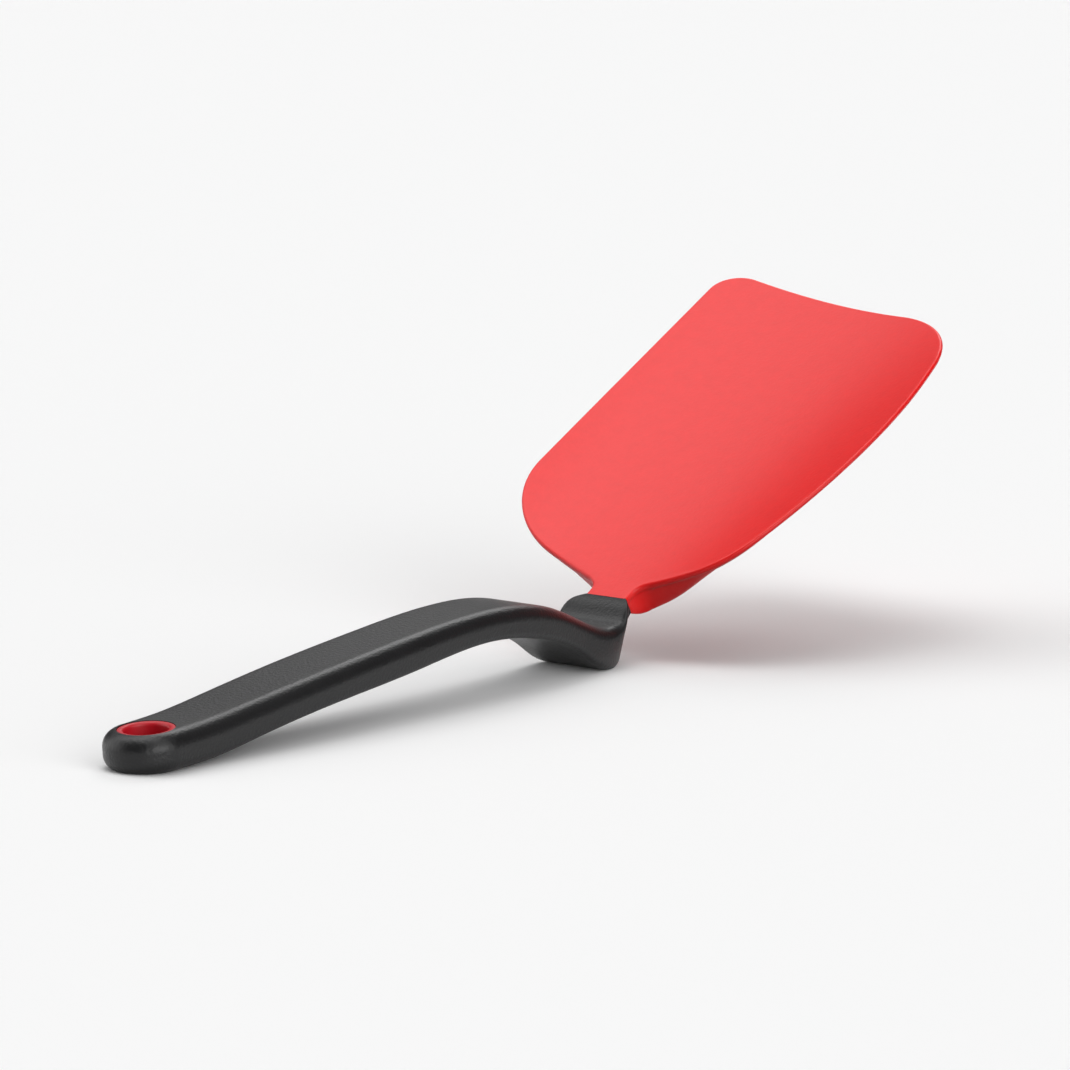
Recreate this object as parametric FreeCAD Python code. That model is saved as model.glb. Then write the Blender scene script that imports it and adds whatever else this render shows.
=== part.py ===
import FreeCAD, Part
import math
import os

os.makedirs("parts", exist_ok=True)
V = FreeCAD.Vector

# Handle: a flat bar that arches up from its resting end and drops to a heel under the neck.
handle_length = 205.5
handle_width = 25.4
handle_end_width = 23.4
end_tilt = 4.5
arch_height = 24.4
edge_radius_top = 4.4
edge_radius_foot = 1.8
end_edge_radius = 4.2

# Hanging hole and the eyelet that lines it.
ring_diameter = 15.6
ring_wall = 1.8
ring_drop = 0.25
ring_lip = 0.9
ring_foot_gap = 1.0

# Neck, where the blade meets the handle.
neck_width = 14.4
neck_thickness = 5.4
neck_edge_radius = 0.6
neck_run = 6.3

# Blade: dished sheet, one straight edge, one bowed edge and a slanted tip.
blade_pitch = 28.5
blade_length = 148.9
blade_width = 104.0
rim_thickness = 1.7
sheet_thickness = 2.5
dish_base = 11.0
dish_tip = 5.5
tip_curl = 1.6
flare_radius = 3.5

# Keel: the swell under the base of the blade that the neck runs into.
keel_length = 36.0
keel_width = 66.0
keel_depth = 10.0
keel_edge_radius = 3.0

# Stiff insides.
tongue_width = 36.0
tongue_thickness = 0.9
neck_cover = 1.45
tang_width = 8.0
tang_depth = 9.6
tang_end_thickness = 2.4
wedge_end_thickness = 0.8

# One overrun for every cut.
overrun = 3.0

# Grip stations from the resting end to the neck. Each row holds shares: top point along the handle
# length, top height of the arch height, foot point along, foot height, then the widths of the top and
# of the foot and the shift to the side as shares of the handle width, then shares of the two edge radii.
grip_shares = (
    (0.122, 0.476, 0.126, 0.053, 0.930, 0.930, 0.00, 1.00, 1.6),
    (0.202, 0.561, 0.208, 0.172, 0.955, 0.955, 0.00, 1.00, 1.15),
    (0.352, 0.732, 0.358, 0.361, 1.000, 1.000, 0.00, 1.00, 1.0),
    (0.521, 0.898, 0.524, 0.516, 0.990, 0.990, 0.00, 1.00, 1.0),
    (0.686, 1.000, 0.684, 0.652, 1.000, 1.000, 0.00, 1.00, 1.0),
    (0.816, 0.883, 0.798, 0.529, 1.005, 1.005, 0.00, 1.00, 1.0),
    (0.900, 0.598, 0.876, 0.268, 0.995, 0.995, 0.01, 1.00, 1.0),
    (0.950, 0.482, 0.942, -0.008, 1.000, 0.925, 0.03, 0.85, 1.0),
    (0.975, 0.529, 0.984, 0.050, 1.030, 0.705, 0.06, 0.45, 1.0),
    (0.989, 0.662, 0.998, 0.314, 0.930, 0.595, 0.06, 0.25, 0.6),
    (0.9955, 0.716, 1.006, 0.450, 0.780, 0.575, 0.04, 0.17, 0.4),
)
grip_step_shares = (0, 0.05, 0.1, 0.16, 0.22, 0.28, 0.34, 0.4, 0.46, 0.51, 0.56, 0.6, 0.64, 0.68, 0.715,
                    0.75, 0.78, 0.81, 0.84, 0.865, 0.885, 0.9, 0.913, 0.926, 0.938, 0.95, 0.96, 0.97,
                    0.98, 0.99, 1)
spine_step_shares = (0.14, 0.28, 0.42, 0.54, 0.62, 0.69, 0.75, 0.8, 0.85, 0.89, 0.92, 0.945, 0.96)
end_height_share = 0.438
joint_height_share = 0.758
spine_cover_share = 0.2
spine_width_share = 0.72

# Blade outline corners: shares of the blade length and of half its width, then how far the corner's
# rounding runs along the edges before and after it, as shares of those edges.
outline_shares = (
    (0.139, 0.998, 0.515, 0.190),
    (1.003, 1.012, 0.083, 0.114),
    (0.929, -0.775, 0.267, 0.338),
    (0.442, -1.050, 0.575, 0.796),
    (0.115, -0.629, 0.191, 0.360),
)
across_shares = (-1.2, -0.9, -0.6, -0.3, 0.0, 0.3, 0.6, 0.9, 1.2)
along_shares = (-0.06, 0.0, 0.03, 0.065, 0.11, 0.17, 0.25, 0.36, 0.5, 0.66, 0.83, 1.0, 1.07)
dish_start_share = 0.045
sheet_start_share = 0.9
tongue_start_share = 0.15
tongue_end_share = 0.88

# Keel stations beyond the neck: shares of the keel length, of half its width at the top and at the
# foot, of its depth at the foot, and of its edge radius.
keel_shares = (
    (0.11, 0.22, 0.21, -0.87, 0.7),
    (0.22, 0.34, 0.28, -1.00, 1.0),
    (0.335, 0.59, 0.41, -0.95, 1.2),
    (0.46, 0.83, 0.50, -0.80, 1.4),
    (0.625, 1.00, 0.56, -0.58, 1.4),
    (0.83, 1.10, 0.52, -0.40, 1.0),
    (1.05, 1.18, 0.42, -0.19, 0.4),
)
keel_step_shares = (0, 0.05, 0.1, 0.16, 0.22, 0.28, 0.35, 0.42, 0.5, 0.58, 0.67, 0.78, 0.89, 1)
keel_top_share = 0.45

joint_height = joint_height_share * arch_height
end_height = end_height_share * arch_height
end_radius = handle_end_width / 2
keel_top = keel_top_share * keel_depth
neck_half = neck_width / 2
pitch = math.radians(blade_pitch)
blade_normal = V(-math.sin(pitch), 0, math.cos(pitch))
end_foot = V(end_radius, 0, 0)
end_up = V(-math.sin(math.radians(end_tilt)), 0, math.cos(math.radians(end_tilt)))


def place(u, v, n):
    """Point of the blade: u along it from the joint, v across, n off its face."""
    x = handle_length + u * math.cos(pitch) - n * math.sin(pitch)
    z = joint_height + u * math.sin(pitch) + n * math.cos(pitch)
    return V(x, v, z)


def rounded_loop(corners):
    """Closed wire through (point, run back, run ahead) corners. Each is rounded from one run to the other."""
    edges = []
    start = None
    last = None
    for i, (here, run_back, run_ahead) in enumerate(corners):
        back = corners[i - 1][0].sub(here)
        ahead = corners[(i + 1) % len(corners)][0].sub(here)
        weight = math.sin(back.getAngle(ahead) / 2)
        back.normalize()
        ahead.normalize()
        first = here + back * run_back
        if last is None:
            start = first
        else:
            edges.append(Part.makeLine(last, first))
        last = here + ahead * run_ahead
        if run_back != run_ahead:
            curve = Part.BezierCurve()
            curve.setPoles([first, here, last])
            curve.setWeight(2, weight)
            edges.append(curve.toShape())
        elif run_back > 0:
            middle = (first + here * (2 * weight) + last) * (1 / (2 + 2 * weight))
            edges.append(Part.Arc(first, middle, last).toShape())
    edges.append(Part.makeLine(last, start))
    return Part.Wire(edges)


def radius_corner(points, i, radius):
    """Corner of a loop that a circle of the given radius rounds."""
    here = points[i]
    half = points[i - 1].sub(here).getAngle(points[(i + 1) % len(points)].sub(here)) / 2
    run = radius / math.tan(half)
    return here, run, run


def bar_section(top, foot, half, edge):
    """Section of a bar from a top point to a foot point. Half width and edge radius have a value for each."""
    out_top = V(0, half.x, 0)
    out_foot = V(0, half.y, 0)
    points = (top + out_top, top - out_top, foot - out_foot, foot + out_foot)
    radii = (edge.x, edge.x, edge.y, edge.y)
    return rounded_loop([radius_corner(points, i, radii[i]) for i in range(len(points))])


def smooth_line(points, marks):
    """Smooth curve through points at given marks."""
    curve = Part.BSplineCurve()
    curve.interpolate(Points=points, Parameters=marks)
    return curve


def smooth_rows(tops, feet, halves, edges, step_shares):
    """Rows at steps along smooth lines through stations. The distance along keeps equal sizes apart."""
    marks = [0]
    for i in range(1, len(tops)):
        step = (tops[i].distanceToPoint(tops[i - 1]) + feet[i].distanceToPoint(feet[i - 1])) / 2
        marks.append(marks[-1] + step)
    lines = [smooth_line(tops, marks), smooth_line(feet, marks)]
    for sizes in (halves, edges):
        lines.append(smooth_line([V(size.x, size.y, mark) for size, mark in zip(sizes, marks)], marks))
    return [[line.value(marks[-1] * share) for line in lines] for share in step_shares]


def grip_rows(step_shares):
    """Rows of the grip from the resting end to the joint: top, foot, half widths and edge radii."""
    tops = [end_foot + end_up * end_height]
    feet = [end_foot]
    halves = [V(end_radius, end_radius, 0)]
    edges = [V(edge_radius_top, end_edge_radius, 0)]
    for top_x, top_z, foot_x, foot_z, wide_top, wide_foot, side, edge_top, edge_foot in grip_shares:
        tops.append(V(top_x * handle_length, side * handle_width, top_z * arch_height))
        feet.append(V(foot_x * handle_length, side * handle_width, foot_z * arch_height))
        halves.append(V(wide_top * handle_width / 2, wide_foot * handle_width / 2, 0))
        edges.append(V(edge_top * edge_radius_top, edge_foot * edge_radius_foot, 0))
    tops.append(place(0, 0, 0))
    feet.append(place(0, 0, -neck_thickness))
    halves.append(V(neck_half, neck_half, 0))
    edges.append(V(neck_edge_radius, neck_edge_radius, 0))
    return smooth_rows(tops, feet, halves, edges, step_shares)


def keel_rows(step_shares):
    """Rows of the keel from the neck on: top, foot, half widths and edge radii."""
    tops = [place(0, 0, keel_top)]
    feet = [place(0, 0, -neck_thickness)]
    halves = [V(neck_half, neck_half, 0)]
    edges = [V(neck_edge_radius, neck_edge_radius, 0)]
    for along, wide_top, wide_foot, deep, radius in keel_shares:
        tops.append(place(along * keel_length, 0, keel_top))
        feet.append(place(along * keel_length, 0, deep * keel_depth))
        halves.append(V(wide_top * keel_width / 2, wide_foot * keel_width / 2, 0))
        edges.append(V(neck_edge_radius, radius * keel_edge_radius, 0))
    return smooth_rows(tops, feet, halves, edges, step_shares)


def resting_end(section):
    """Round end of the handle, turned about the axis of the hanging hole."""
    side = Part.makeBox(handle_length, handle_width, 2 * arch_height, V(0, 0, -overrun))
    return Part.Face(section).common(side).revolve(end_foot, end_up, 180).Solids[0]


def stand_up(wire):
    """Prism through the blade's thickness over an outline given in its own plane."""
    reach = blade_width / 2
    solid = Part.Face(wire).extrude(V(0, 0, 2 * reach))
    solid.translate(V(0, 0, -reach))
    solid.rotate(V(0, 0, 0), V(0, 1, 0), -blade_pitch)
    solid.translate(place(0, 0, 0))
    return solid


def dish(u, v):
    """Height of the blade's upper face over its chord: a trough that gets flatter towards the tip."""
    run = max(u, 0) / blade_length
    depth = dish_base + (dish_tip - dish_base) * run ** 1.3
    start = 1 - math.exp(-((run / dish_start_share) ** 2))
    across = v / (blade_width / 2)
    return tip_curl * run ** 2 + start * depth * across ** 2


def thickness(v):
    """Wall of the blade: thins from the middle to the rim."""
    across = v / (blade_width / 2)
    return sheet_thickness + (rim_thickness - sheet_thickness) * across ** 2


def cross_line(u, wide, middle, rim):
    """Parabola across the blade at a distance from the joint, from its middle height to its rim height."""
    curve = Part.BezierCurve()
    curve.setPoles([place(u, -wide, rim), place(u, 0, 2 * middle - rim), place(u, wide, rim)])
    return curve.toShape()


def face_over(height):
    """Smooth face through a grid of heights over the blade's chord."""
    grid = []
    for along in along_shares:
        u = along * blade_length
        row = []
        for across in across_shares:
            v = across * blade_width / 2
            row.append(place(u, v, height(u, v)))
        grid.append(row)
    surface = Part.BSplineSurface()
    surface.interpolate(grid)
    return surface.toShape()


def under(face):
    """Everything under a face of the blade."""
    return face.extrude(blade_normal * -blade_width)


def between(outline, upper, lower):
    """Solid under one face and over another, inside an outline prism."""
    above = lower.extrude(blade_normal * blade_width)
    return outline.common(under(upper)).common(above).Solids[0]


# Grip: round resting end and arched bar in one moulding, cut level under the heel.
sections = [bar_section(*row) for row in grip_rows(grip_step_shares)]
bar = Part.makeLoft(sections, True, True)
ground = Part.makeBox(2 * handle_length, 2 * handle_width, arch_height,
                      V(-handle_length / 2, -handle_width, -arch_height))
grip_body = resting_end(sections[0]).fuse(bar).cut(ground).removeSplitter()

# Eyelet: its wall's profile turned about the hanging hole's axis. It seats a little below the handle's top.
ring_outer = ring_diameter / 2
ring_inner = ring_outer - ring_wall
ring_top = end_height - ring_drop
ring_profile = ((ring_inner, ring_foot_gap), (ring_outer, ring_foot_gap), (ring_outer, ring_top),
                (ring_inner + ring_lip, ring_top), (ring_inner, ring_top - ring_lip))
ring_points = [end_foot + V(0, out, 0) + end_up * up for out, up in ring_profile]
hang_ring = Part.Face(Part.makePolygon(ring_points + ring_points[:1])).revolve(end_foot, end_up, 360)
ring_hole = Part.makeCylinder(ring_outer, end_height + 2 * overrun, end_foot - end_up * overrun, end_up)

# Blade: dished sheet of silicone with the keel under its base.
start_half = sheet_start_share * neck_half
points = [V(neck_run / 2, start_half, 0), V(neck_run, start_half, 0)]
for along, across, back, ahead in outline_shares:
    points.append(V(along * blade_length, across * blade_width / 2, 0))
points += [V(neck_run, -start_half, 0), V(neck_run / 2, -start_half, 0)]
outline = [(points[0], 0, 0), radius_corner(points, 1, flare_radius)]
for i, (along, across, back, ahead) in enumerate(outline_shares, 2):
    run_back = back * points[i].distanceToPoint(points[i - 1])
    run_ahead = ahead * points[i].distanceToPoint(points[i + 1])
    outline.append((points[i], run_back, run_ahead))
outline += [radius_corner(points, len(points) - 2, flare_radius), (points[-1], 0, 0)]


def blade_foot(u, v):
    """Underside of the sheet."""
    return dish(u, v) - thickness(v)


keel_sections = [bar_section(*row) for row in keel_rows(keel_step_shares)]
keel = Part.makeLoft(keel_sections, True, True).common(under(face_over(dish)))
sheet_body = between(stand_up(rounded_loop(outline)), face_over(dish), face_over(blade_foot))
blade_body = sheet_body.fuse(keel).removeSplitter()


def sheet_middle(u, v):
    """Middle of the sheet's wall."""
    return dish(u, v) - thickness(v) / 2


# Tongue: a stiff strip inside the sheet, curved across like the dish and straight along it.
tongue_half = tongue_width / 2
near = tongue_start_share * blade_length
far = tongue_end_share * blade_length
near_middle = sheet_middle(near, 0)
far_middle = sheet_middle(far, 0)
rise = (sheet_middle(near, tongue_half) - near_middle + sheet_middle(far, tongue_half) - far_middle) / 2
tongue_top = near_middle + tongue_thickness / 2
tongue_foot = near_middle - tongue_thickness / 2
tongue_edges = [cross_line(near, tongue_half, tongue_top, tongue_top + rise)]
tongue_edges.append(Part.makeLine(place(near, tongue_half, tongue_top + rise),
                                  place(near, tongue_half, tongue_foot + rise)))
tongue_edges.append(cross_line(near, tongue_half, tongue_foot, tongue_foot + rise))
tongue_edges.append(Part.makeLine(place(near, -tongue_half, tongue_foot + rise),
                                  place(near, -tongue_half, tongue_top + rise)))
tongue = Part.Face(Part.Wire(tongue_edges)).extrude(place(far, 0, far_middle) - place(near, 0, near_middle))

# Tang: a wedge from the tongue to the neck that bends down into the heel.
tang_half = tang_width / 2
wedge_middle = sheet_thickness / 2
wedge_top = place(keel_length, -tang_half, wedge_end_thickness / 2 - wedge_middle)
wedge_foot = place(keel_length, -tang_half, -wedge_end_thickness / 2 - wedge_middle)
tang_top = place(0, -tang_half, -neck_cover)
tang_foot = place(0, -tang_half, neck_cover - neck_thickness)
tang_middle = (tang_top + tang_foot) * 0.5
spine_rows = grip_rows(spine_step_shares)
heel_row = spine_rows[-1]
heel_middle = (heel_row[0] + heel_row[1]) * 0.5
heel_middle.y = -tang_half
lean = heel_middle.sub(tang_middle)
lean.normalize()
side = V(-lean.z, 0, lean.x)
tang_tip = tang_middle + lean * tang_depth
tang_corners = (tang_top, wedge_top, wedge_foot, tang_foot, tang_tip + side * (tang_end_thickness / 2),
                tang_tip - side * (tang_end_thickness / 2), tang_top)
tang = Part.Face(Part.makePolygon(tang_corners)).extrude(V(0, tang_width, 0))
blade_core = tongue.fuse(tang).removeSplitter()
blade_skin = blade_body.cut(blade_core)

# Spine: the bar drawn in on every side, with a socket for the tang.
spine_sections = []
for top, foot, half, edge in spine_rows:
    drop = (foot.sub(top)) * spine_cover_share
    inner_half = min(half.x, half.y) * spine_width_share
    spine_sections.append(bar_section(top + drop, foot - drop, V(inner_half, inner_half, 0), V(0, 0, 0)))
handle_core = Part.makeLoft(spine_sections, True, True).cut(tang)
grip_shell = grip_body.cut(ring_hole).cut(handle_core).cut(tang)

# Origin under the middle of the whole spatula, on the surface it stands on.
parts = {
    "grip_shell": grip_shell,
    "handle_core": handle_core,
    "hang_ring": hang_ring,
    "blade_skin": blade_skin,
    "blade_core": blade_core,
}
ahead = blade_skin.optimalBoundingBox(False, False)
behind = grip_shell.optimalBoundingBox(False, False)
shift = V(-(behind.XMin + ahead.XMax) / 2, -(ahead.YMin + ahead.YMax) / 2, 0)
for name, shape in parts.items():
    shape.translate(shift)
    shape.exportStep("parts/" + name + ".step")
    print(name, len(shape.Solids), shape.isValid(), round(shape.Volume))
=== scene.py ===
"""Silicone spatula: arched black handle with a red eyelet, and a dished red blade, standing on its heel."""

import bmesh
import bpy
import numpy as np
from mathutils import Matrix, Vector


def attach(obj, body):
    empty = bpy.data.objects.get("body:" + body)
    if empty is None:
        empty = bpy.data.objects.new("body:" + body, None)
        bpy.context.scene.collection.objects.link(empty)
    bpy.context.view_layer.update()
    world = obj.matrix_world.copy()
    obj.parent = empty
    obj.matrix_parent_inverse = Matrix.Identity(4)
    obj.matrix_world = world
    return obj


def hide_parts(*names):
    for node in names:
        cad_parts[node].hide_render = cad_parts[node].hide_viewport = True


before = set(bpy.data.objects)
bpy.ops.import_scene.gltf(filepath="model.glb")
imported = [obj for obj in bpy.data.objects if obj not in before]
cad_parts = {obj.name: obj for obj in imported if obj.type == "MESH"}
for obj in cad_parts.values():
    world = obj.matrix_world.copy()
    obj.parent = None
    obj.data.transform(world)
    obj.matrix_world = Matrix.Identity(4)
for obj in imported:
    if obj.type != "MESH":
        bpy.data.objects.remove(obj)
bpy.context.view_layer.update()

# The handle is one moulding of black nylon with a soft-touch coat. It lies on its round end, arches over the
# fingers, and dips to a heel that props the blade up. The blade's neck leaves it just above that heel.
MM = 0.001
HANDLE_START = np.array([-166.82, -1.834, 0.0])
HANDLE_LENGTH = 205.5
HANDLE_WIDTH = 25.4
ARCH_HEIGHT = 24.4
END_HALF = 11.7
END_HEIGHT = 10.69
END_TILT = np.radians(4.5)
EDGE_TOP = 4.4
EDGE_FOOT = 1.8
END_EDGE_FOOT = 4.2
NECK_HEIGHT = 18.495
NECK_HALF = 7.2
NECK_THICKNESS = 5.4
NECK_EDGE = 0.6
BLADE_PITCH = np.radians(28.5)
ALONG = np.array([np.cos(BLADE_PITCH), 0.0, np.sin(BLADE_PITCH)])
ACROSS = np.array([0.0, 1.0, 0.0])
NORMAL = np.array([-np.sin(BLADE_PITCH), 0.0, np.cos(BLADE_PITCH)])
# Stations from the end to the neck in shares: top along the length, top height of the arch, foot along, foot
# height, widths at top and foot and the shift to the side of the handle's width, and the two edge radii.
GRIP_SHARES = np.array([
    (0.122, 0.476, 0.126, 0.053, 0.930, 0.930, 0.00, 1.00, 1.6),
    (0.202, 0.561, 0.208, 0.172, 0.955, 0.955, 0.00, 1.00, 1.15),
    (0.352, 0.732, 0.358, 0.361, 1.000, 1.000, 0.00, 1.00, 1.0),
    (0.521, 0.898, 0.524, 0.516, 0.990, 0.990, 0.00, 1.00, 1.0),
    (0.686, 1.000, 0.684, 0.652, 1.000, 1.000, 0.00, 1.00, 1.0),
    (0.816, 0.883, 0.798, 0.529, 1.005, 1.005, 0.00, 1.00, 1.0),
    (0.900, 0.598, 0.876, 0.268, 0.995, 0.995, 0.01, 1.00, 1.0),
    (0.950, 0.482, 0.942, -0.008, 1.000, 0.925, 0.03, 0.85, 1.0),
    (0.975, 0.529, 0.984, 0.050, 1.030, 0.705, 0.06, 0.45, 1.0),
    (0.989, 0.662, 0.998, 0.314, 0.930, 0.595, 0.06, 0.25, 0.6),
    (0.9955, 0.716, 1.006, 0.450, 0.780, 0.575, 0.04, 0.17, 0.4),
])
GRIP_ROWS = 220
END_STEPS = 64
CORNER_STEPS = 13
FLAT_STEPS = 15
SIDE_STEPS = 7
# Points nearer than this are one point, an edge shorter than this is none, a fold past this angle is sharp.
MERGE_DISTANCE = 0.002
LEAST_EDGE = 0.0001
SHARP_ANGLE = np.radians(40)


def smooth(marks, values, at):
    """Natural cubic spline: the second derivatives solve one tridiagonal system, each span is its cubic."""
    step = np.diff(marks)[:, None]
    slope = np.diff(values, axis=0) / step
    count = len(marks)
    system = np.eye(count)
    inner = np.arange(1, count - 1)
    system[inner, inner - 1] = step[:-1, 0]
    system[inner, inner] = 2 * (step[:-1, 0] + step[1:, 0])
    system[inner, inner + 1] = step[1:, 0]
    bend = np.zeros_like(values)
    bend[1:-1] = 6 * np.diff(slope, axis=0)
    bend = np.linalg.solve(system, bend)
    span = np.clip(np.searchsorted(marks, at, side="right") - 1, 0, count - 2)
    run = step[span]
    after = ((at - marks[span])[:, None]) / run
    before = 1 - after
    cubic = (before ** 3 - before) * bend[span] + (after ** 3 - after) * bend[span + 1]
    return before * values[span] + after * values[span + 1] + cubic * run ** 2 / 6


def rounded(first, corner, last, share):
    """Round corner from first to last: a rational quadratic whose weight is the sine of half the angle."""
    back = first - corner
    ahead = last - corner
    cosine = (back * ahead).sum(-1) / (np.linalg.norm(back, axis=-1) * np.linalg.norm(ahead, axis=-1))
    weight = np.sqrt((1 - cosine) / 2)[..., None, None]
    q = share[:, None]
    near = (1 - q) ** 2
    middle = 2 * weight * q * (1 - q)
    total = near + middle + q ** 2
    return (near * first[..., None, :] + middle * corner[..., None, :] + q ** 2 * last[..., None, :]) / total


def half_section(tall, half_top, half_foot, radius_top, radius_foot):
    """Right half of a bar's section, from top middle to foot middle: a trapezoid with two round corners.
    Each corner's run is its radius divided by the tangent of half its angle."""
    zero = np.zeros_like(tall)
    top = np.stack([half_top, tall], -1)
    foot = np.stack([half_foot, zero], -1)
    side = (foot - top) / np.linalg.norm(foot - top, axis=-1)[:, None]
    inwards = np.stack([-np.ones_like(tall), zero], -1)
    half_top_angle = np.arccos((side * inwards).sum(-1)) / 2
    run_top = (radius_top / np.tan(half_top_angle))[:, None]
    run_foot = (radius_foot / np.tan(np.pi / 2 - half_top_angle))[:, None]
    corner_share = np.linspace(0, 1, CORNER_STEPS)
    flat_share = np.linspace(0, 1, FLAT_STEPS)[None, :-1, None]
    side_share = np.linspace(0, 1, SIDE_STEPS)[None, 1:-1, None]
    top_start = top + inwards * run_top
    top_end = top + side * run_top
    foot_start = foot - side * run_foot
    foot_end = foot + inwards * run_foot
    top_middle = np.stack([zero, tall], -1)[:, None]
    foot_middle = np.stack([zero, zero], -1)[:, None]
    return np.concatenate([
        top_middle + (top_start[:, None] - top_middle) * flat_share,
        rounded(top_start, top, top_end, corner_share),
        top_end[:, None] + (foot_start - top_end)[:, None] * side_share,
        rounded(foot_start, foot, foot_end, corner_share),
        foot_middle + (foot_end[:, None] - foot_middle) * flat_share[:, ::-1],
    ], axis=1)


def grid_faces(rows, columns, first=0):
    """Quads of a grid, row by row."""
    corner = first + np.arange(rows - 1)[:, None] * columns + np.arange(columns - 1)
    quads = np.stack([corner, corner + 1, corner + columns + 1, corner + columns], -1)
    return quads.reshape(-1, 4)


def piece_from(name, points, faces, sharp=SHARP_ANGLE):
    """Mesh piece of points in millimetres: doubles merged, normals outwards, smooth below the sharp angle."""
    mesh = bpy.data.meshes.new(name)
    mesh.from_pydata((np.asarray(points) * MM).tolist(), [], [list(face) for face in faces])
    work = bmesh.new()
    work.from_mesh(mesh)
    bmesh.ops.remove_doubles(work, verts=work.verts, dist=MERGE_DISTANCE * MM)
    bmesh.ops.dissolve_degenerate(work, edges=work.edges, dist=LEAST_EDGE * MM)
    bmesh.ops.recalc_face_normals(work, faces=work.faces)
    work.to_mesh(mesh)
    work.free()
    mesh.shade_smooth()
    mesh.set_sharp_from_angle(angle=sharp)
    piece = bpy.data.objects.new(name, mesh)
    bpy.context.scene.collection.objects.link(piece)
    return piece


end_foot = HANDLE_START + (END_HALF, 0, 0)
end_up = np.array([-np.sin(END_TILT), 0.0, np.cos(END_TILT)])
joint = HANDLE_START + (HANDLE_LENGTH, 0, NECK_HEIGHT)
sizes = GRIP_SHARES * ([HANDLE_LENGTH, ARCH_HEIGHT] * 2 + [HANDLE_WIDTH / 2] * 2
                       + [HANDLE_WIDTH, EDGE_TOP, EDGE_FOOT])
tops = np.vstack([end_foot + end_up * END_HEIGHT, HANDLE_START + sizes[:, (0, 6, 1)], joint])
feet = np.vstack([end_foot, HANDLE_START + sizes[:, (2, 6, 3)], joint - NORMAL * NECK_THICKNESS])
widths = np.vstack([(END_HALF, END_HALF, EDGE_TOP, END_EDGE_FOOT), sizes[:, (4, 5, 7, 8)],
                    (NECK_HALF, NECK_HALF, NECK_EDGE, NECK_EDGE)])
steps = np.linalg.norm(np.diff(tops, axis=0), axis=1) + np.linalg.norm(np.diff(feet, axis=0), axis=1)
marks = np.concatenate([[0], np.cumsum(steps / 2)])
row_places = marks[-1] * np.sin(np.linspace(0, np.pi / 2, GRIP_ROWS))
row_top = smooth(marks, tops, row_places)
row_foot = smooth(marks, feet, row_places)
row_width = smooth(marks, widths, row_places)
row_up = row_top - row_foot
row_tall = np.linalg.norm(row_up, axis=1)
half_line = half_section(row_tall, *row_width.T)
ring_line = np.concatenate([half_line, half_line[:, -2:0:-1] * (-1, 1)], axis=1)
ring_line = np.concatenate([ring_line, ring_line[:, :1]], axis=1)
row_rise = (row_up / row_tall[:, None])[:, None]
bar = row_foot[:, None] + row_rise * ring_line[..., 1:] - ACROSS * ring_line[..., :1]
bar[..., 2] = np.maximum(bar[..., 2], 0)
turn = np.linspace(0, np.pi, END_STEPS)[:, None, None]
back = -np.cross(ACROSS, end_up)
end_line = half_line[0][None]
spoke = -ACROSS * np.cos(turn) + back * np.sin(turn)
end = end_foot + end_up * end_line[..., 1:] + spoke * end_line[..., :1]
end[..., 2] = np.maximum(end[..., 2], 0)
grip_points = np.concatenate([bar.reshape(-1, 3), end.reshape(-1, 3)])
grip_faces = grid_faces(*bar.shape[:2]).tolist()
grip_faces += grid_faces(*end.shape[:2], first=bar.shape[0] * bar.shape[1]).tolist()
last_ring = (GRIP_ROWS - 1) * bar.shape[1]
grip_faces.append(list(range(last_ring, last_ring + bar.shape[1] - 1)))
grip = piece_from("grip", grip_points, grip_faces)

# The eyelet's seat is cut through the round end, square to its top.
EYELET_RADIUS = 7.8
EYELET_BORE = 6.0
EYELET_STEPS = 96
CUT_OVERRUN = 4.0
bore_turn = np.linspace(0, 2 * np.pi, EYELET_STEPS + 1)
end_side = np.cross(end_up, ACROSS)
circle = np.cos(bore_turn)[:, None] * end_side + np.sin(bore_turn)[:, None] * ACROSS
cut_ends = np.array([-CUT_OVERRUN, END_HEIGHT + CUT_OVERRUN])[:, None, None]
cutter_points = end_foot + circle * EYELET_RADIUS + end_up * cut_ends
cutter_faces = grid_faces(*cutter_points.shape[:2]).tolist()
cutter_faces += [list(range(first, first + EYELET_STEPS)) for first in (0, EYELET_STEPS + 1)]
cutter = piece_from("cutter", cutter_points.reshape(-1, 3), cutter_faces)
cut = grip.modifiers.new("eyelet_seat", "BOOLEAN")
cut.operation = "DIFFERENCE"
cut.solver = "EXACT"
cut.object = cutter
bpy.context.view_layer.update()
cut_mesh = bpy.data.meshes.new_from_object(grip.evaluated_get(bpy.context.evaluated_depsgraph_get()))
grip.modifiers.clear()
grip.data = cut_mesh
bpy.data.objects.remove(cutter)
grip.data.shade_smooth()
grip.data.set_sharp_from_angle(angle=SHARP_ANGLE)


def linear(code):
    """sRGB hex colour as linear red, green, blue and alpha."""
    shown = np.array([int(code[i:i + 2], 16) for i in (1, 3, 5)]) / 255
    light = np.where(shown <= 0.04045, shown / 12.92, ((shown + 0.055) / 1.055) ** 2.4)
    return (*light.tolist(), 1.0)


def add(material, kind, sockets=None, **settings):
    """Add a node, set its properties, and set or link its input sockets."""
    node = material.node_tree.nodes.new(kind)
    for name, value in settings.items():
        setattr(node, name, value)
    for name, value in (sockets or {}).items():
        if isinstance(value, bpy.types.NodeSocket):
            material.node_tree.links.new(value, node.inputs[name])
        else:
            node.inputs[name].default_value = value
    return node


def material_for(name):
    """Empty node material and its output node."""
    material = bpy.data.materials.new(name)
    material.use_nodes = True
    material.node_tree.nodes.clear()
    return material, add(material, "ShaderNodeOutputMaterial")


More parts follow.
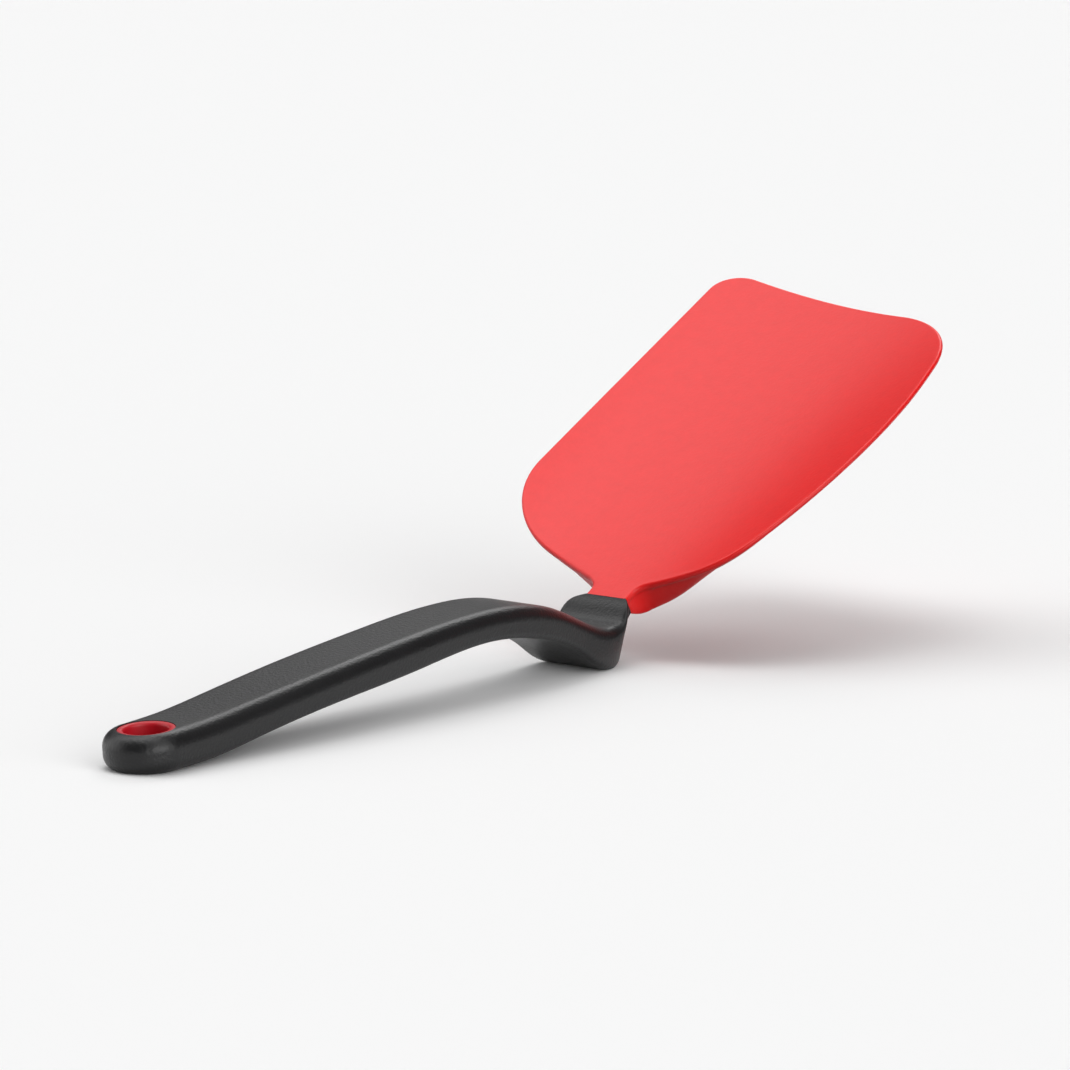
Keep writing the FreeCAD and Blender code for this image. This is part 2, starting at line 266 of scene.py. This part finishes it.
# Soft-touch coat on moulded nylon: satin, with a fine spark texture that the eye sees as grain, and a faint
# cloudiness where hands have polished it. The grain is drawn coarser than it is, so that it shows.
SPARK_GRAIN = 0.8
SPARK_DEPTH = 0.16
HAND_POLISH = 14.0
soft_touch, surface = material_for("soft_touch_nylon")
place = add(soft_touch, "ShaderNodeTexCoord").outputs["Object"]
grain = add(soft_touch, "ShaderNodeTexNoise", {
    "Vector": place, "Scale": 1 / (SPARK_GRAIN * MM), "Detail": 3.0})
cloud = add(soft_touch, "ShaderNodeTexNoise", {
    "Vector": place, "Scale": 1 / (HAND_POLISH * MM), "Detail": 2.0})
shade = add(soft_touch, "ShaderNodeValToRGB", {"Fac": cloud.outputs["Fac"]})
shade.color_ramp.elements[0].color = linear("#151516")
shade.color_ramp.elements[1].color = linear("#1b1b1c")
polish = add(soft_touch, "ShaderNodeMapRange", {
    "Value": cloud.outputs["Fac"], "To Min": 0.33, "To Max": 0.39})
relief = add(soft_touch, "ShaderNodeBump", {
    "Height": grain.outputs["Fac"], "Strength": 0.8, "Distance": SPARK_DEPTH * MM})
coat = add(soft_touch, "ShaderNodeBsdfPrincipled", {
    "Base Color": shade.outputs["Color"], "Roughness": polish.outputs["Result"], "IOR": 1.46,
    "Normal": relief.outputs["Normal"]})
soft_touch.node_tree.links.new(coat.outputs["BSDF"], surface.inputs["Surface"])
grip.data.materials.append(soft_touch)
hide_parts("grip_shell")
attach(grip, "root")

# A stiff nylon spine runs inside the handle, and a nylon tongue inside the blade. They are moulded first, and
# the outer mouldings cover them. Plain moulded nylon shows faint flow marks.
FLOW_MARKS = 6.0
nylon, surface = material_for("moulded_nylon")
place = add(nylon, "ShaderNodeTexCoord").outputs["Object"]
flow = add(nylon, "ShaderNodeTexNoise", {"Vector": place, "Scale": 1 / (FLOW_MARKS * MM), "Detail": 2.0})
shade = add(nylon, "ShaderNodeValToRGB", {"Fac": flow.outputs["Fac"]})
shade.color_ramp.elements[0].color = linear("#232324")
shade.color_ramp.elements[1].color = linear("#2e2e2f")
body = add(nylon, "ShaderNodeBsdfPrincipled", {
    "Base Color": shade.outputs["Color"], "Roughness": 0.5, "IOR": 1.53})
nylon.node_tree.links.new(body.outputs["BSDF"], surface.inputs["Surface"])
for core in ("handle_core", "blade_core"):
    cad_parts[core].data.materials.clear()
    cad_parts[core].data.materials.append(nylon)

# The eyelet is a smooth red bush, moulded in plastic and pressed through the round end. It sits a little
# below the handle's top, and its inner lip is round.
EYELET_FOOT = 1.0
EYELET_DROP = 0.25
EYELET_TOP = END_HEIGHT - EYELET_DROP
LIP_IN = 0.9
LIP_OUT = 0.3
LIP_STEPS = 9
lip_turn = np.linspace(0, np.pi / 2, LIP_STEPS)
corner = np.stack([1 - np.cos(lip_turn), 1 - np.sin(lip_turn)], -1)
top_in = (EYELET_BORE, EYELET_TOP) + corner * LIP_IN * (1, -1)
top_out = (EYELET_RADIUS, EYELET_TOP) - corner[::-1] * LIP_OUT
foot_out = (EYELET_RADIUS, EYELET_FOOT) + corner * LIP_OUT * (-1, 1)
foot_in = (EYELET_BORE, EYELET_FOOT) + corner[::-1] * LIP_OUT
profile = np.concatenate([top_in, top_out, foot_out, foot_in, top_in[:1]])
lathe = end_foot + end_up * profile[None, :, 1:] + circle[:, None] * profile[None, :, :1]
eyelet = piece_from("eyelet", lathe.reshape(-1, 3), grid_faces(*lathe.shape[:2]).tolist())

# Moulded plastic, coloured through: smooth, with a satin sheen and faint flow marks in the red.
BUSH_FLOW = 5.0
bush, surface = material_for("moulded_red_plastic")
place = add(bush, "ShaderNodeTexCoord").outputs["Object"]
flow = add(bush, "ShaderNodeTexNoise", {"Vector": place, "Scale": 1 / (BUSH_FLOW * MM), "Detail": 2.0})
shade = add(bush, "ShaderNodeValToRGB", {"Fac": flow.outputs["Fac"]})
shade.color_ramp.elements[0].color = linear("#b81020")
shade.color_ramp.elements[1].color = linear("#c41426")
body = add(bush, "ShaderNodeBsdfPrincipled", {
    "Base Color": shade.outputs["Color"], "Roughness": 0.45, "IOR": 1.46})
bush.node_tree.links.new(body.outputs["BSDF"], surface.inputs["Surface"])
eyelet.data.materials.append(bush)
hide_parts("hang_ring")
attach(eyelet, "root")

# The blade is red silicone moulded over the tongue: a dished sheet that thins to a soft round rim, on a hull
# that grows out of the neck. One long edge is straight, the other bows out, and the tip is cut on a slant.
BLADE_LENGTH = 148.9
BLADE_HALF = 52.0
DISH_BASE = 11.0
DISH_TIP = 5.5
DISH_START = 0.045
DISH_FADE = 1.3
TIP_CURL = 1.6
SHEET = 2.5
RIM = 1.7
RIM_ROUND = 0.8
RIM_INSET = 1.6
# Corners of the outline from the neck round the straight edge, tip and bowed edge to the neck again: along,
# across, and the shares of the sides before and behind that the round corner takes up.
OUTLINE = np.array([
    (-0.2, 7.2, 0.0, 0.0),
    (5.6, 7.4, 0.55, 0.09),
    (20.7, 51.9, 0.515, 0.19),
    (149.35, 52.62, 0.083, 0.114),
    (138.33, -40.3, 0.267, 0.338),
    (65.81, -54.6, 0.575, 0.796),
    (17.12, -32.71, 0.191, 0.36),
    (5.8, -7.3, 0.13, 0.5),
    (-0.2, -7.2, 0.0, 0.0),
])
# Steps of each corner, of each half of the outline, from spine to rim, and of each round of the rim.
ARC_STEPS = 41
HALF_COUNT = 320
SHEET_COLUMNS = 44
RIM_STEPS = 7
BLADE_SHARP = np.radians(50)
# Share of the outline's length at which the tip's middle lies, and how far towards the rim the spine runs.
TIP_SHARE = 0.47
SPINE_SHARE = 0.8
# The keel under the blade's base: places along the blade, depth below the chord and half width of its foot.
KEEL_PLACES = np.array([0, 4, 8, 12, 16.6, 22.5, 30, 38])
KEEL_SIZES = np.array([
    (5.4, 7.2), (8.7, 7.0), (10.0, 9.2), (9.5, 13.5), (8.0, 16.5), (5.8, 18.5), (4.0, 17.2), (1.9, 13.9)])
KEEL_EDGE = 0.25
# The least share of the way in that the wall takes, and the least half width of the rim.
LEAST_WALL = 0.02
LEAST_HALF = 0.01
# How much of the rim's round there is at its foot, where the keel's wall runs into it and farther on.
TUCK_PLACES = (6, 36)
TUCK_SHARES = (0.15, 1.0)


def dish(u, v):
    """Height over the chord: the tip curls with the square of the run, the rims rise with the square of the
    distance from the middle, less towards the tip."""
    run = np.maximum(u, 0) / BLADE_LENGTH
    depth = DISH_BASE + (DISH_TIP - DISH_BASE) * run ** DISH_FADE
    start = 1 - np.exp(-(run / DISH_START) ** 2)
    return TIP_CURL * run ** 2 + start * depth * (v / BLADE_HALF) ** 2


def keel(u, inset, rim_half, rim_foot):
    """Underside of the keel: its wall falls from the rim's foot to its depth over the share of the way in
    that its foot leaves free, and a hyperbola rounds the edge between wall and foot."""
    deep, half = smooth(KEEL_PLACES, KEEL_SIZES, u.ravel()).T.reshape(2, *u.shape)
    wall = 1 - inset / np.maximum(1 - half / rim_half, LEAST_WALL)
    rise = (wall + np.sqrt(wall ** 2 + KEEL_EDGE ** 2)) / 2
    return np.where(u < KEEL_PLACES[-1], -deep + (deep + rim_foot) * rise, BLADE_HALF)


corners = OUTLINE[:, :2]
before = corners[:-2] - corners[1:-1]
behind = corners[2:] - corners[1:-1]
arc_start = corners[1:-1] + before * OUTLINE[1:-1, 2:3]
arc_end = corners[1:-1] + behind * OUTLINE[1:-1, 3:]
arcs = rounded(arc_start, corners[1:-1], arc_end, np.linspace(0, 1, ARC_STEPS))
outline = np.concatenate([corners[:1], arcs.reshape(-1, 2), corners[-1:]])
length = np.concatenate([[0], np.cumsum(np.linalg.norm(np.diff(outline, axis=0), axis=1))])
middle = length[-1] * TIP_SHARE
left = np.linspace(0, middle, HALF_COUNT)
right = np.linspace(middle, length[-1], HALF_COUNT)[1:]
at = np.concatenate([left, right])
rim = np.stack([np.interp(at, length, outline[:, 0]), np.interp(at, length, outline[:, 1])], -1)
tangent = np.gradient(rim, axis=0)
tangent /= np.linalg.norm(tangent, axis=1)[:, None]
inwards = np.stack([tangent[:, 1], -tangent[:, 0]], -1)
spine = SPINE_SHARE * (rim[:HALF_COUNT, 0] + rim[::-1][:HALF_COUNT, 0]) / 2
spine = np.maximum.accumulate(spine)
spine = np.concatenate([spine, spine[:-1][::-1]])
spine = np.stack([spine, np.zeros_like(spine)], -1)

edge_turn = np.linspace(0, np.pi / 2, RIM_STEPS)
top_round = np.stack([RIM_ROUND * (1 - np.sin(edge_turn)), RIM_ROUND * (1 - np.cos(edge_turn))], -1)
foot_round = np.stack([RIM_ROUND * (1 - np.cos(edge_turn)), RIM - RIM_ROUND * (1 - np.sin(edge_turn))], -1)
tuck = np.interp(rim[:, 0], TUCK_PLACES, TUCK_SHARES)[:, None]
lip_inset = np.concatenate([np.tile(top_round[:, 0], (len(rim), 1)), tuck * foot_round[:, 0]], axis=1)
lip_drop = np.concatenate([top_round[:, 1], foot_round[:, 1]])
shares = np.linspace(0, 1, SHEET_COLUMNS)
sheet = spine[:, None] + (rim + inwards * RIM_INSET - spine)[:, None] * shares[:, None]
upper = np.concatenate([sheet, dish(sheet[..., 0], sheet[..., 1])[..., None]], -1)
edge = rim[:, None] + inwards[:, None] * lip_inset[..., None]
edge = np.concatenate([edge, (dish(edge[..., 0], edge[..., 1]) - lip_drop)[..., None]], -1)
under = spine[:, None] + (rim + inwards * (RIM_INSET * tuck) - spine)[:, None] * shares[::-1, None]
wall = SHEET + (RIM - SHEET) * (under[..., 1] / BLADE_HALF) ** 2
sheet_foot = dish(under[..., 0], under[..., 1]) - wall
keel_foot = keel(under[..., 0], 1 - shares[::-1], np.abs(rim[:, 1:]) + LEAST_HALF, edge[:, -1:, 2])
under = np.concatenate([under, np.minimum(sheet_foot, keel_foot)[..., None]], -1)
loop = np.concatenate([upper, edge, under], axis=1)
blade_points = joint + loop[..., :1] * ALONG + loop[..., 1:2] * ACROSS + loop[..., 2:] * NORMAL
blade_faces = grid_faces(*loop.shape[:2]).tolist()
columns = loop.shape[1]
cap_last = (loop.shape[0] - 1) * columns
blade_faces.append(list(range(columns)) + list(range(cap_last + columns - 2, cap_last, -1)))
blade = piece_from("blade", blade_points.reshape(-1, 3), blade_faces, sharp=BLADE_SHARP)

# Satin moulded silicone: a soft sheen, slight glow under the surface, a mottled red and a fine dusty grain,
# which is drawn coarser than it is, so that it shows.
DUST_GRAIN = 1.2
DUST_DEPTH = 0.12
MOTTLE = 4.0
GLOW_DEPTH = 1.5
silicone, surface = material_for("satin_silicone")
place = add(silicone, "ShaderNodeTexCoord").outputs["Object"]
grain = add(silicone, "ShaderNodeTexNoise", {"Vector": place, "Scale": 1 / (DUST_GRAIN * MM), "Detail": 3.0})
mottle = add(silicone, "ShaderNodeTexNoise", {
    "Vector": place, "Scale": 1 / (MOTTLE * MM), "Detail": 6.0, "Roughness": 0.7})
shade = add(silicone, "ShaderNodeValToRGB", {"Fac": mottle.outputs["Fac"]})
shade.color_ramp.elements[0].color = linear("#e60d0d")
shade.color_ramp.elements[1].color = linear("#f71717")
relief = add(silicone, "ShaderNodeBump", {
    "Height": grain.outputs["Fac"], "Strength": 0.6, "Distance": DUST_DEPTH * MM})
body = add(silicone, "ShaderNodeBsdfPrincipled", {
    "Base Color": shade.outputs["Color"], "Roughness": 0.37, "IOR": 1.46, "Subsurface Weight": 0.1,
    "Subsurface Radius": (1.0, 0.3, 0.2), "Subsurface Scale": GLOW_DEPTH * MM,
    "Normal": relief.outputs["Normal"]})
silicone.node_tree.links.new(body.outputs["BSDF"], surface.inputs["Surface"])
blade.data.materials.append(silicone)
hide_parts("blade_skin")
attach(blade, "root")

# Pale worktop of matt paper, as wide as the view, just under the spatula's feet. To bounced light it is
# darker than it looks, so that it throws little light back up under the blade.
FLOOR_HALF = 20000.0
FLOOR_DROP = 0.05
floor_points = np.array([(-1, -1, 0), (1, -1, 0), (1, 1, 0), (-1, 1, 0)]) * FLOOR_HALF
floor_points[:, 2] = -FLOOR_DROP
floor = piece_from("floor", floor_points, [(0, 1, 2, 3)])
paper, surface = material_for("pale_paper")
seen = add(paper, "ShaderNodeBsdfDiffuse", {"Color": linear("#f3f3f3")})
thrown = add(paper, "ShaderNodeBsdfDiffuse", {"Color": linear("#646464")})
ray = add(paper, "ShaderNodeLightPath")
body = add(paper, "ShaderNodeMixShader", {
    0: ray.outputs["Is Diffuse Ray"], 1: seen.outputs["BSDF"], 2: thrown.outputs["BSDF"]})
paper.node_tree.links.new(body.outputs["Shader"], surface.inputs["Surface"])
floor.data.materials.append(paper)

# Studio: a key light overhead, a soft box on each side of it, low fills on the right and the left, and two
# small lights beyond the blade that draw the handle's crest and top, between dim walls.
# Each row is the way to a light, the cosines at which it begins and is full, and its strength.
STUDIO = (
    ((0.02, 0.05, 1.0), 0.93, 0.985, 3.2),
    ((0.03, 0.5, 0.86), 0.87, 0.96, 2.2),
    ((-0.05, -0.6, 0.8), 0.86, 0.96, 1.6),
    ((-0.2, -0.97, 0.05), 0.78, 0.95, 4.5),
    ((-0.45, 0.87, 0.2), 0.75, 0.95, 1.9),
    ((0.67, 0.35, 0.65), 0.96, 0.985, 4.0),
    ((0.75, 0.55, 0.36), 0.94, 0.98, 0.27),
)
WALL_LIGHT = 0.07
world = bpy.data.worlds.new("studio")
bpy.context.scene.world = world
world.use_nodes = True
world.node_tree.nodes.clear()
aim = add(world, "ShaderNodeTexCoord").outputs["Generated"]
total = WALL_LIGHT
for way, begins, full, strength in STUDIO:
    near = add(world, "ShaderNodeVectorMath", {0: aim, 1: Vector(way).normalized()}, operation="DOT_PRODUCT")
    glow = add(world, "ShaderNodeMapRange", {
        "Value": near.outputs["Value"], "From Min": begins, "From Max": full,
        "To Min": 0.0, "To Max": strength}, interpolation_type="SMOOTHSTEP")
    summed = add(world, "ShaderNodeMath", {0: glow.outputs["Result"], 1: total}, operation="ADD")
    total = summed.outputs["Value"]
light = add(world, "ShaderNodeBackground", {"Strength": total})
add(world, "ShaderNodeOutputWorld", {"Surface": light.outputs["Background"]})
bpy.context.scene.view_settings.view_transform = "Standard"

# Camera of the photograph: far off and low, looking along the handle from its right.
EYE = Vector((-1289.66, -1036.17, 317.11))
TARGET = Vector((6.043, -2.013, 40.295))
LENS = 201.88
SENSOR = 36.0
FARTHEST = 100000.0
camera = bpy.data.objects.new("camera", bpy.data.cameras.new("camera"))
camera.data.lens = LENS
camera.data.sensor_width = SENSOR
camera.data.clip_end = FARTHEST * MM
camera.location = EYE * MM
camera.rotation_euler = (TARGET - EYE).to_track_quat("-Z", "Y").to_euler()
bpy.context.scene.collection.objects.link(camera)
bpy.context.scene.camera = camera
